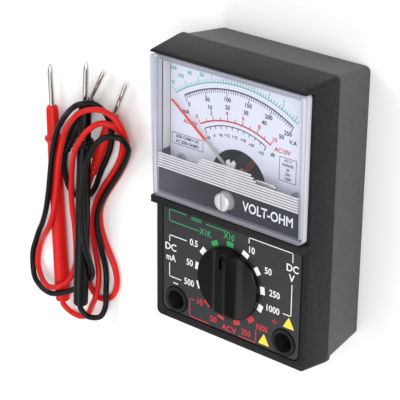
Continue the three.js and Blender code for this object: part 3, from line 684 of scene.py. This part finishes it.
class DialPrint(bpy.types.Operator):
    """Print the scales on the dial plate"""

    bl_idname = "multimeter.dial"
    bl_label = "Dial print"

    PLATE_Z = 27.0
    MAIN = (-0.5, -4.0)
    MAIN_R = 42.8
    MAIN_SPAN = (122.0, 58.9)
    OHM_R = 44.8
    OHM_SPAN = (126.0, 58.5)
    VOLT = (-1.5, -2.0)
    VOLT_R = 30.0
    VOLT_SPAN = (119.4, 61.6)
    LEVEL = (-1.4, 0.0)
    LEVEL_R = 26.4
    LEVEL_SPAN = (119.5, 61.9)
    FIGURE = 1.4
    SMALL_FIGURE = 1.2

    def execute(self, context):
        self.main_scale()
        self.ohm_scale()
        self.volt_scale()
        return {"FINISHED"}

    def main_scale(self):
        ink = Print(self.PLATE_Z)
        c = self.MAIN
        a, b = self.MAIN_SPAN
        ink.arc(c, self.MAIN_R, 0.42, a, b)
        ink.ticks(c, self.MAIN_R, a, b, 50, 0.27, lambda i: -2.4 if i % 10 == 0 else -1.3)
        first, last = 121.6, 59.5
        ink.along(["0", "50", "100", "150", "200", "250"], c, 39.4, first, last, self.FIGURE)
        ink.along(["10", "20", "30", "40", "50"], c, 36.7, 108.9, 61.5, self.FIGURE)
        c, (a, b) = self.LEVEL, self.LEVEL_SPAN
        ink.arc(c, self.LEVEL_R, 0.34, a, b)
        ink.ticks(c, self.LEVEL_R, a, b, 11, 0.3, lambda i: -1.7 if i in (0, 11) else -1.1)
        marks = ["-20", "0", "+8", "+12", "+15", "+18", "+20", "+22"]
        for text, angle in zip(marks, (119.7, 112.4, 105.8, 98.9, 91, 82.4, 73.9, 63.1)):
            turn = math.radians(angle)
            x, y = c[0] + 23.2 * math.cos(turn), c[1] + 23.2 * math.sin(turn)
            ink.words(text, x, y, 1.0)
        ink.words("dB", 13.7, 21.3, 1.15)
        ink.words("mA", -22.5, 26.8, self.FIGURE)
        ink.words("V.A", 21.6, 27.4, self.FIGURE)
        self.box_of_words(ink, -28.5, 18.3, -15.1, 14.4, ["2000 OHM/V DC", "AC 2000 OHM/V"])
        rows = ["AC V", "RANGE", "50", "250", "1000"]
        self.box_of_words(ink, 16.6, 21.7, 23.2, 13.7, rows)
        ink.done("dial_print_black", printed_ink("black_ink", colours().ink_black), "case")

    def box_of_words(self, ink, x0, y0, x1, y1, rows):
        corners = [(x0, y0), (x1, y0), (x1, y1), (x0, y1), (x0, y0)]
        ink.line(corners, 0.2)
        pitch = (y0 - y1) / (len(rows) + 0.25)
        for i, text in enumerate(rows):
            height = min(pitch * 0.62, 1.1)
            stretch = min(1.0, (x1 - x0) / (len(text) * height * 1.05))
            y = y0 - pitch * (i + 0.62)
            ink.words(text, (x0 + x1) / 2, y, height, stretch)

    def ohm_scale(self):
        ink = Print(self.PLATE_Z)
        c = self.MAIN
        a, b = self.OHM_SPAN
        ink.arc(c, self.OHM_R, 0.32, a, b)
        ink.ticks(c, self.OHM_R, a, b, 46, 0.25, lambda i: 2.4 if i % 5 == 0 else 1.2)
        for text, x, y in (
            ("200", -28, 40.6),
            ("100", -24.9, 38.6),
            ("40", -21.1, 40.4),
            ("20", -16, 41),
            ("10", -7.4, 43.4),
            ("5", 2, 43.9),
            ("2", 11.2, 42.6),
            ("1", 17.6, 40.2),
            ("K", -28, 35.6),
        ):
            ink.words(text, x, y, self.SMALL_FIGURE)
        material = printed_ink("teal_ink", colours().ink_teal)
        ink.done("dial_print_teal", material, "case")

    def volt_scale(self):
        ink = Print(self.PLATE_Z)
        c = self.VOLT
        a, b = self.VOLT_SPAN
        ink.arc(c, self.VOLT_R, 0.55, a, b)
        ink.ticks(c, self.VOLT_R, a, b, 10, 0.3, lambda i: 1.7 if i % 2 == 0 else 1.2)
        ink.along(["0", "2", "4", "6", "8", "10"], c, 32.6, 120.2, 61, self.FIGURE)
        ink.words("AC10V", 17.6, 23.5, 1.5)
        ink.words("AC10V", -20.6, 23.3, 1.4)
        material = printed_ink("dial_red_ink", colours().ink_red)
        ink.done("dial_print_red", material, "case")


class PanelPrint(bpy.types.Operator):
    """Print the ranges, their markers and brackets on the panel, and the band's wording"""

    bl_idname = "multimeter.panel"
    bl_label = "Panel print"

    PANEL_Z = 30.5
    BAND_Z = 32.85
    KNOB = (0.0, -27.0)
    MARK_R = 14.0
    MARK = (2.8, 1.9)
    POSITIONS = 13
    LINE = 0.34
    FIGURE = 2.3
    HEAVY = 0.018

    def figure(self, ink, text, x, y, height=None, stretch=1.0):
        ink.words(text, x, y, height or self.FIGURE, stretch, self.HEAVY)

    def markers(self, ink, places):
        for place in places:
            angle = 90 + 360 * place / self.POSITIONS
            turn = math.radians(angle)
            x = self.KNOB[0] + self.MARK_R * math.cos(turn)
            y = self.KNOB[1] + self.MARK_R * math.sin(turn)
            ink.bar(x, y, self.MARK[1], self.MARK[0], angle)

    def execute(self, context):
        skin = panel_enamel(colours())
        softened("panel_plate", SMALL_EDGE, skin, 1)
        self.white()
        self.green()
        self.red()
        self.yellow()
        self.band()
        return {"FINISHED"}

    def white(self):
        ink = Print(self.PANEL_Z)
        self.markers(ink, (2, 3, 4, 9, 10, 11, 12))
        for text, x, y in (
            ("0.5", -15.6, -17.5),
            ("50", -17.4, -25.3),
            ("500", -17.6, -32.8),
            ("10", 8.9, -12.4),
            ("50", 16, -17.7),
            ("250", 18.9, -25.1),
            ("1000", 18.2, -30.8),
        ):
            self.figure(ink, text, x, y, stretch=0.9)
        self.figure(ink, "DC", -25.9, -22.1, 2.5)
        self.figure(ink, "mA", -25.8, -26, 2.4, 0.85)
        self.figure(ink, "DC", 25.8, -13.6, 2.5)
        self.figure(ink, "V", 25.6, -17.1, 2.5)
        ink.line([(-19, -17.6), (-26.4, -17.6), (-26.4, -19.9)], self.LINE)
        ink.line([(-26.4, -28.2), (-26.4, -33.1), (-21.3, -33.1)], self.LINE)
        ink.line([(7.9, -9.9), (7.9, -8.1), (25.8, -8.1), (25.8, -11.2)], self.LINE)
        ink.line([(25.8, -19.4), (25.8, -30.6), (22.7, -30.6)], self.LINE)
        ink.bar(-23.6, -35.1, 2.1, 0.4)
        material = printed_ink("white_ink", colours().ink_white)
        ink.done("panel_print_white", material, "case")

    def green(self):
        ink = Print(self.PANEL_Z)
        self.markers(ink, (0, 1))
        self.figure(ink, "X1K", -10.6, -12.2, 2.2, 0.85)
        self.figure(ink, "X10", -0.5, -10.5, 2.2, 0.85)
        self.figure(ink, "ohm", -14.7, -8.5, 1.7)
        ink.line([(-13.4, -12.3), (-26.5, -12.3), (-26.5, -8.1), (-19, -8.1)], self.LINE)
        ink.line([(-10.4, -8.9), (-0.4, -8.9)], self.LINE)
        material = printed_ink("green_ink", colours().ink_green)
        ink.done("panel_print_green", material, "case")

    def red(self):
        ink = Print(self.PANEL_Z)
        self.markers(ink, (5, 6, 7, 8))
        self.figure(ink, "10", -12.9, -38.6, 2.1)
        self.figure(ink, "50", -6.7, -43, 2.1)
        self.figure(ink, "ACV", 0.1, -44.3, 2.2)
        self.figure(ink, "250", 7.4, -43.2, 2.1, 0.9)
        self.figure(ink, "1000", 13.9, -39.1, 2.1, 0.85)
        ink.line([(-15.3, -38.6), (-17.2, -38.6), (-17.2, -45.3), (-8.8, -45.3)], self.LINE)
        ink.line([(11.6, -40.8), (11.6, -45.3), (4.4, -45.3)], self.LINE)
        ink.bar(19.2, -34.8, 1.9, 0.4)
        ink.bar(19.2, -34.8, 0.4, 1.9)
        material = printed_ink("panel_red_ink", colours().ink_red)
        ink.done("panel_print_red", material, "case")

    def yellow(self):
        ink = Print(self.PANEL_Z)
        for x, y in ((25, -33.9), (15, -43.5)):
            deselect()
            bpy.ops.mesh.primitive_circle_add(
                vertices=3, radius=2.7 * MM, fill_type="NGON", location=(0, 0, 0)
            )
            piece = bpy.context.active_object
            bpy.ops.object.mode_set(mode="EDIT")
            bpy.ops.mesh.select_all(action="SELECT")
            bpy.ops.mesh.bevel(offset=0.35 * MM, segments=4, affect="VERTICES")
            bpy.ops.object.mode_set(mode="OBJECT")
            piece.location = (x * MM, y * MM, ink.height)
            settle(piece)
            ink.parts.append(piece)
        material = printed_ink("yellow_ink", colours().ink_yellow)
        ink.done("panel_print_yellow", material, "case")

    def band(self):
        ink = Print(self.BAND_Z)
        self.figure(ink, "VOLT-OHM", 17, 3.4, 3.3, 0.84)
        material = printed_ink("band_ink", colours().ink_white)
        ink.done("band_print", material, "case")


class Knob(bpy.types.Operator):
    """Round the range knob's grip and polish it"""

    bl_idname = "multimeter.knob"
    bl_label = "Range knob"

    def execute(self, context):
        softened("knob", sizes().knob_edge, polished_abs(colours()), 3, 40)
        return {"FINISHED"}


class SmallParts(bpy.types.Operator):
    """Give every part that stays as the CAD made it its material, and finish the zero screw"""

    bl_idname = "multimeter.small_parts"
    bl_label = "Movement and inner parts"

    def execute(self, context):
        made = {slot: self.finish(values) for slot, values in PLAIN_FINISHES.items()}
        made["needle"] = lacquered_needle()
        made["dial"] = dial_enamel(colours())
        worn = {"Metallic": 0.5}
        screw = coated("slotted_screw_steel", linear("#d4d4d6"), 0.42, worn, grain=(0.5, 0.02))
        softened("zero_screw", SMALL_EDGE, screw, 2)
        for row in frame["record"]["subparts"]:
            node = frame["nodes"][row["node"]]
            if not node.hide_render and row["material_slot"] in made:
                node.data.materials.clear()
                node.data.materials.append(made[row["material_slot"]])
        return {"FINISHED"}

    def finish(self, values):
        name, colour, roughness, sockets, grain = values
        return coated(name, linear(colour), roughness, sockets, grain)


# ---- test leads ---------------------------------------------------------------------------

TABLE = 1.25  # height of a cord's centre line on the table
# where each lead's handle and plug lie, in mm: the ends of their centre lines, and how far
# behind its nose a probe's guard stands
LAY = {
    "red": {
        "probe": ((-106.4, -79.9, 3.2), (-108.9, 0.9, 3.8), 12.5),
        "plug": ((-77.5, 5, 3), (-86.3, -14.8, 3)),
    },
    "black": {
        "probe": ((-91.5, -74.7, 8.4), (-86.5, 8.5, 8.9), 14.2),
        "plug": ((-89.6, 7.7, 3), (-99.4, -9.7, 3)),
    },
}
# the centre line of each cord in mm, from its probe to its plug
BLACK_ROUTE = [
    (-91.6, -75.1, 8.4), (-91.68, -76.5, 8.39), (-89.4, -79.7, 7.3), (-84.7, -79.4, 5.2),
    (-82.3, -74.7, 4.3), (-82.6, -69.3, 3.6), (-84.1, -64.4, 1.7), (-85, -59.1, TABLE),
    (-84.9, -53.8, 2.7), (-85, -48.4, 3.9), (-86.1, -43.1, 4), (-86.3, -37.7, 3.8),
    (-84.5, -32.5, 3.8), (-81.9, -27.7, 3.7), (-78.9, -23.1, 3.6), (-75.8, -18.5, 3.6),
    (-72.8, -14, 3.9), (-69.9, -9.4, 4.8), (-67.7, -4.7, 6.5), (-69.1, -0.5, 9), (-74, -0.6, 11.1),
    (-78.1, -4, 12.4), (-80.7, -8.7, 13.1), (-82.5, -13.9, 13.3), (-83.9, -19.2, 13.2),
    (-84.8, -24.6, 13.1), (-85.4, -30, 13), (-85.4, -35.5, 13), (-84.9, -41, 13.1),
    (-84.3, -46.4, 12.7), (-84.2, -51.7, 11.2), (-85, -56.6, 8.9), (-86.9, -61.1, 6.4),
    (-89.9, -65.2, 4.5), (-93.9, -68.9, 3.6), (-98.3, -72.1, 4.1), (-102.7, -74.6, 6.2),
    (-107.7, -76.1, 7.6), (-112.9, -77, 6.3), (-118, -77.1, 4.4), (-122.8, -75.4, 2.5),
    (-124.9, -70.7, TABLE), (-124.5, -65.2, TABLE), (-122.7, -60.1, TABLE), (-120.1, -55.3, 2.1),
    (-117.1, -50.8, 3.1), (-114.3, -46.3, 4.4), (-111.7, -41.7, 5.8), (-109.5, -36.8, 7),
    (-107.8, -31.6, 7.8), (-106.7, -26.3, 8.1), (-105.9, -20.9, 8.1), (-105, -15.4, 7.9),
    (-103.7, -10.1, 7.9), (-101.5, -5.1, 8.2), (-98.3, -0.8, 9), (-94.5, 3, 10.3), (-90.5, 6.3, 12),
    (-86, 9.3, 12.7), (-81.1, 10.3, 10.6), (-77.8, 7.2, 7.9), (-76.8, 2.1, 6.1), (-77.2, -3.2, 4.9),
    (-78.8, -8.4, 4.2), (-81.2, -13.3, 3.7), (-83.9, -18, 3.3), (-86.5, -22.8, 2.6),
    (-89.2, -27.5, 1.7), (-92.6, -31.7, TABLE), (-97.4, -34.2, TABLE), (-102.3, -32.6, 1.5),
    (-104.1, -27.5, 2.1), (-104.1, -22.1, 2.9), (-103.2, -16.7, 3),
]
RED_ROUTE = [
    (-106.4, -80.3, 3.2), (-106.36, -81.7, 3.19), (-103.8, -84.7, 2), (-98.5, -85.5, TABLE),
    (-94.1, -82.4, 1.6), (-91.2, -77.8, 2.7), (-88.3, -73.2, 3.7), (-87.2, -68, 3.1),
    (-88.2, -62.8, 1.6), (-89.4, -57.4, TABLE), (-90.6, -52, TABLE), (-91.3, -46.6, TABLE),
    (-91.1, -41.1, TABLE), (-89.8, -35.7, TABLE), (-87.7, -30.6, TABLE), (-84.9, -25.9, TABLE),
    (-81.7, -21.4, TABLE), (-78.7, -16.8, TABLE), (-76.3, -11.8, TABLE), (-74.5, -6.6, 2.1),
    (-73, -1.8, 4.2), (-73.1, 2.4, 7.6), (-77.1, 3.8, 10.8), (-81, 0.9, 13.2), (-84.1, -3.5, 14.2),
    (-87.2, -8, 13.7), (-90.2, -12.4, 11.9), (-92.9, -16.6, 9.7), (-95.3, -21.1, 7.7), (-97.3, -26, 6),
    (-98.9, -31.1, 4.7), (-99.9, -36.4, 3.5), (-100.5, -41.8, 2.4), (-100.6, -47.2, 1.6),
    (-100.6, -52.7, TABLE), (-100.5, -58.2, TABLE), (-100.7, -63.7, 1.5), (-101.5, -68.7, 3.6),
    (-104, -71.9, 7.1), (-109, -73.7, 7.6), (-114.1, -74.2, 5.6), (-118.8, -72.9, 3.1),
    (-121.8, -68.9, 1.5), (-121, -63.5, TABLE), (-118.4, -58.8, 2.3), (-115, -54.9, 4.3),
    (-111.5, -51.1, 6.2), (-108.3, -46.8, 7.4), (-105.9, -41.9, 8), (-104.4, -36.6, 8.1),
    (-103.7, -31.1, 7.9), (-103.2, -25.6, 7.6), (-102.6, -20.1, 7.4), (-101.6, -14.7, 7.4),
    (-99.7, -9.6, 7.8), (-97, -4.9, 8.9), (-93.6, -0.8, 10.4), (-89.8, 2.8, 12.1), (-85.6, 6.1, 13.1),
    (-80.8, 8.6, 12.5), (-75.5, 9, 11), (-71.2, 6.4, 9.2), (-69.6, 1.6, 7.1), (-70.1, -3.4, 4.8),
    (-71.6, -8.3, 2.8), (-73.8, -13.2, 1.5), (-76.4, -18, TABLE), (-79.4, -22.6, TABLE),
    (-82.6, -27.2, TABLE), (-85.4, -31.9, TABLE), (-87.2, -37.1, TABLE), (-87.1, -42.6, TABLE),
    (-85.4, -47.8, TABLE), (-82.9, -52.7, TABLE), (-80.3, -57.6, TABLE), (-79, -62.9, TABLE),
    (-79.9, -68.3, TABLE), (-83.3, -72.5, TABLE), (-88.6, -73.8, TABLE), (-92.9, -70.6, TABLE),
    (-94.4, -65.4, TABLE), (-94.8, -59.9, TABLE), (-95.1, -54.4, TABLE), (-94.8, -48.9, TABLE),
    (-94.2, -43.4, 2), (-93.6, -38.1, 3.2), (-92.7, -32.7, 4), (-91.2, -27.4, 3.6), (-89.5, -22.2, 3),
]


class Probes(bpy.types.Operator):
    """Build both probes: handle, finger guard and plated point"""

    bl_idname = "multimeter.probes"
    bl_label = "Probes"

    GUARD = 1.1  # thickness of the finger guard in mm
    POINT = 16.3  # how far the point stands out of the handle in mm

    def execute(self, context):
        for name in ("red", "black"):
            tail, nose, guard = LAY[name]["probe"]
            length = (Vector(nose) - Vector(tail)).length
            front = length - guard
            back = front - self.GUARD
            colour = getattr(colours(), "lead_" + name)
            skin = moulded_handle(name + "_hard_pvc", colour)
            profile = [(2.3, 0.02), (2.6, 0.12), (2.75, 0.4), (2.82, 1), (2.85, 4), (2.87, 8)]
            profile += [(2.88, 12), (2.8, length * 0.4), (2.62, back - 6), (2.5, back - 2.2)]
            profile += [(2.6, back - 1.2), (3.1, back - 0.35), (3.45, back), (3.5, back + 0.25)]
            profile += [(3.5, front - 0.25), (3.4, front), (2.75, front + 0.25)]
            profile += [(2.45, front + 0.8), (2.3, length - 1.8), (2.1, length - 0.7)]
            profile += [(1.7, length - 0.1), (1.2, length)]
            handle = lathed("probe_" + name + "_handle", profile, tail, nose)
            finished(handle, "test_leads", skin, 40)
            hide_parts("probe_" + name)
            start = length + 0.05
            end = length + self.POINT
            point = [(1.0, start), (1.0, end - 3.2), (0.85, end - 1.8), (0.5, end - 0.5)]
            point += [(0.2, end)]
            tip = lathed("probe_" + name + "_point", point, tail, nose, 24)
            finished(tip, "test_leads", nickel_plate(), 40)
            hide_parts("probe_tip_" + name)
        return {"FINISHED"}


class Plugs(bpy.types.Operator):
    """Build both plugs: insulated body, ribbed strain relief and straight pin"""

    bl_idname = "multimeter.plugs"
    bl_label = "Plugs"

    RIBS = 3
    RIB_PITCH = 2.4

    def execute(self, context):
        for name in ("red", "black"):
            face, tail = LAY[name]["plug"]
            body = (Vector(tail) - Vector(face)).length
            skin = moulded_handle(name + "_plug_pvc", getattr(colours(), "lead_" + name))
            profile = [(1.3, 0.02), (1.5, 0.15), (1.5, 1.5), (2.25, 2.0), (2.45, 2.5)]
            profile += [(2.5, body - 0.3), (2.35, body), (1.5, body + 0.2)]
            for i in range(self.RIBS):
                z = body + 0.5 + i * self.RIB_PITCH
                r = 1.9 - i * 0.1
                profile += [(1.4, z), (r - 0.1, z + 0.3), (r, z + 0.5), (r, z + 1.4)]
                profile += [(r - 0.1, z + 1.6), (1.4, z + 1.8)]
            profile += [(1.35, body + 7.5), (1.2, body + 7.6)]
            plug = lathed("plug_" + name + "_body", profile, face, tail)
            finished(plug, "test_leads", skin, 40)
            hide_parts("plug_" + name)
            out = [2 * f - t for f, t in zip(face, tail)]
            profile = [(0.8, 0.05), (0.8, 13.4), (0.72, 13.65), (0.5, 13.8)]
            pin = lathed("plug_" + name + "_pin", profile, face, out, 24)
            finished(pin, "test_leads", nickel_plate(), 40)
            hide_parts("plug_pin_" + name)
        return {"FINISHED"}


def laid_along(name, points, diameter):
    """A round cord through points in mm, as one smooth curve with centripetal tangents."""
    data = bpy.data.curves.new(name, "CURVE")
    data.dimensions = "3D"
    data.resolution_u = 10
    data.bevel_depth = diameter / 2
    data.bevel_resolution = 4
    data.use_fill_caps = True
    spline = data.splines.new("BEZIER")
    spline.bezier_points.add(len(points) - 1)
    places = [Vector(mm(*p)) for p in points]
    ahead = places[1:] + [2 * places[-1] - places[-2]]
    behind = [2 * places[0] - places[1]] + places[:-1]
    for point, before, here, after in zip(spline.bezier_points, behind, places, ahead):
        d0 = (here - before).length ** 0.5
        d1 = (after - here).length ** 0.5
        slope = (here - before) / d0 - (after - before) / (d0 + d1) + (after - here) / d1
        point.co = here
        point.handle_left_type = point.handle_right_type = "FREE"
        point.handle_left = here - slope * d0 / 3
        point.handle_right = here + slope * d1 / 3
    cord = bpy.data.objects.new(name, data)
    bpy.context.scene.collection.objects.link(cord)
    return cord


class Cords(bpy.types.Operator):
    """Lay both flexible cords"""

    bl_idname = "multimeter.cords"
    bl_label = "Cords"

    def execute(self, context):
        thick = sizes().cord_diameter
        black = laid_along("cord_black_laid", BLACK_ROUTE, thick)
        red = laid_along("cord_red_laid", RED_ROUTE, thick)
        for name, cord in (("black", black), ("red", red)):
            skin = moulded_pvc(name + "_soft_pvc", getattr(colours(), "lead_" + name))
            cord.data.materials.append(skin)
            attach(cord, "test_leads")
            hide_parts("cord_" + name)
        return {"FINISHED"}

    def fittings(self, name):
        """The plug at a cord's far end and the probe that it comes out of, with their CAD nodes."""
        built = ("plug_%s_body", "plug_%s_pin", "probe_%s_handle", "probe_%s_point")
        nodes = ("plug_%s", "plug_pin_%s", "probe_%s", "probe_tip_%s")
        pieces = [bpy.data.objects[n % name] for n in built]
        return pieces + [frame["nodes"][n % name] for n in nodes]


# ---- stage --------------------------------------------------------------------------------


class Camera(bpy.types.Operator):
    """Place the camera at the viewing angle"""

    bl_idname = "multimeter.camera"
    bl_label = "Camera"

    PLACE = (0.31008, 0.21891, 0.41130)
    RIGHT = (0.75953058, 0.00982444, -0.65039739)
    DOWN = (0.26889995, -0.91519144, 0.30019569)
    AHEAD = (-0.59228887, -0.40289963, -0.69775768)
    LENS = 149.3

    def execute(self, context):
        data = bpy.data.cameras.new("camera")
        data.lens = self.LENS
        data.sensor_width = 36.0
        data.clip_start = 0.01
        data.clip_end = 20
        camera = bpy.data.objects.new("camera", data)
        axes = [Vector(self.RIGHT), -Vector(self.DOWN), -Vector(self.AHEAD)]
        turn = Matrix(axes).transposed().to_4x4()
        camera.matrix_world = Matrix.Translation(self.PLACE) @ turn
        context.scene.collection.objects.link(camera)
        context.scene.camera = camera
        return {"FINISHED"}


class Stage(bpy.types.Operator):
    """Build the pale floor and the soft studio lights"""

    bl_idname = "multimeter.stage"
    bl_label = "Stage"

    FLOOR_Z = -0.0002
    AIM = (-0.03, 0, 0.02)
    SKY = 0.42
    # name, place in m, size in m, power in W
    LAMPS = (
        ("key_softbox", (0.6, 0.15, 0.8), 0.6, 6.5),
        ("front_softbox", (-0.1, -0.6, 0.9), 0.8, 3.4),
        ("left_softbox", (-0.6, 0.4, 0.8), 0.7, 3.6),
    )

    def execute(self, context):
        deselect()
        bpy.ops.mesh.primitive_plane_add(size=6, location=(0, 0, self.FLOOR_Z))
        floor = context.active_object
        floor.name = "floor"
        floor.data.materials.append(coated("paper_sweep", colours().floor, 0.9))
        for name, place, size, power in self.LAMPS:
            lamp = bpy.data.lights.new(name, "AREA")
            lamp.shape = "SQUARE"
            lamp.size = size
            lamp.energy = power
            holder = bpy.data.objects.new(name, lamp)
            holder.location = place
            aim = Vector(self.AIM) - Vector(place)
            holder.rotation_mode = "QUATERNION"
            holder.rotation_quaternion = aim.to_track_quat("-Z", "Y")
            context.scene.collection.objects.link(holder)
        world = bpy.data.worlds.new("studio")
        world.use_nodes = True
        sky = world.node_tree.nodes["Background"]
        sky.inputs["Color"].default_value = (1, 1, 1, 1)
        sky.inputs["Strength"].default_value = self.SKY
        context.scene.world = world
        context.scene.view_settings.view_transform = "Standard"
        return {"FINISHED"}


class MultimeterPanel(bpy.types.Panel):
    bl_idname = "VIEW3D_PT_multimeter"
    bl_label = "Multimeter"
    bl_space_type = "VIEW_3D"
    bl_region_type = "UI"
    bl_category = "Multimeter"

    def draw(self, context):
        layout = self.layout
        for group in (colours(), sizes()):
            for key in group.__annotations__:
                layout.prop(group, key)
        for operator in OPERATORS:
            layout.operator(operator.bl_idname)


OPERATORS = (
    Camera,
    Probes,
    Plugs,
    Cords,
    CaseShells,
    Window,
    DialPrint,
    PanelPrint,
    Knob,
    SmallParts,
    Stage,
)
CLASSES = (MultimeterColours, MultimeterSizes, *OPERATORS, MultimeterPanel)


def register():
    for item in CLASSES:
        bpy.utils.register_class(item)
    scene = bpy.types.Scene
    scene.multimeter_colours = bpy.props.PointerProperty(type=MultimeterColours)
    scene.multimeter_sizes = bpy.props.PointerProperty(type=MultimeterSizes)


def unregister():
    del bpy.types.Scene.multimeter_sizes
    del bpy.types.Scene.multimeter_colours
    for item in reversed(CLASSES):
        bpy.utils.unregister_class(item)


def main():
    register()
    for operator in OPERATORS:
        group, name = operator.bl_idname.split(".")
        getattr(getattr(bpy.ops, group), name)()


if __name__ == "__main__":
    main()
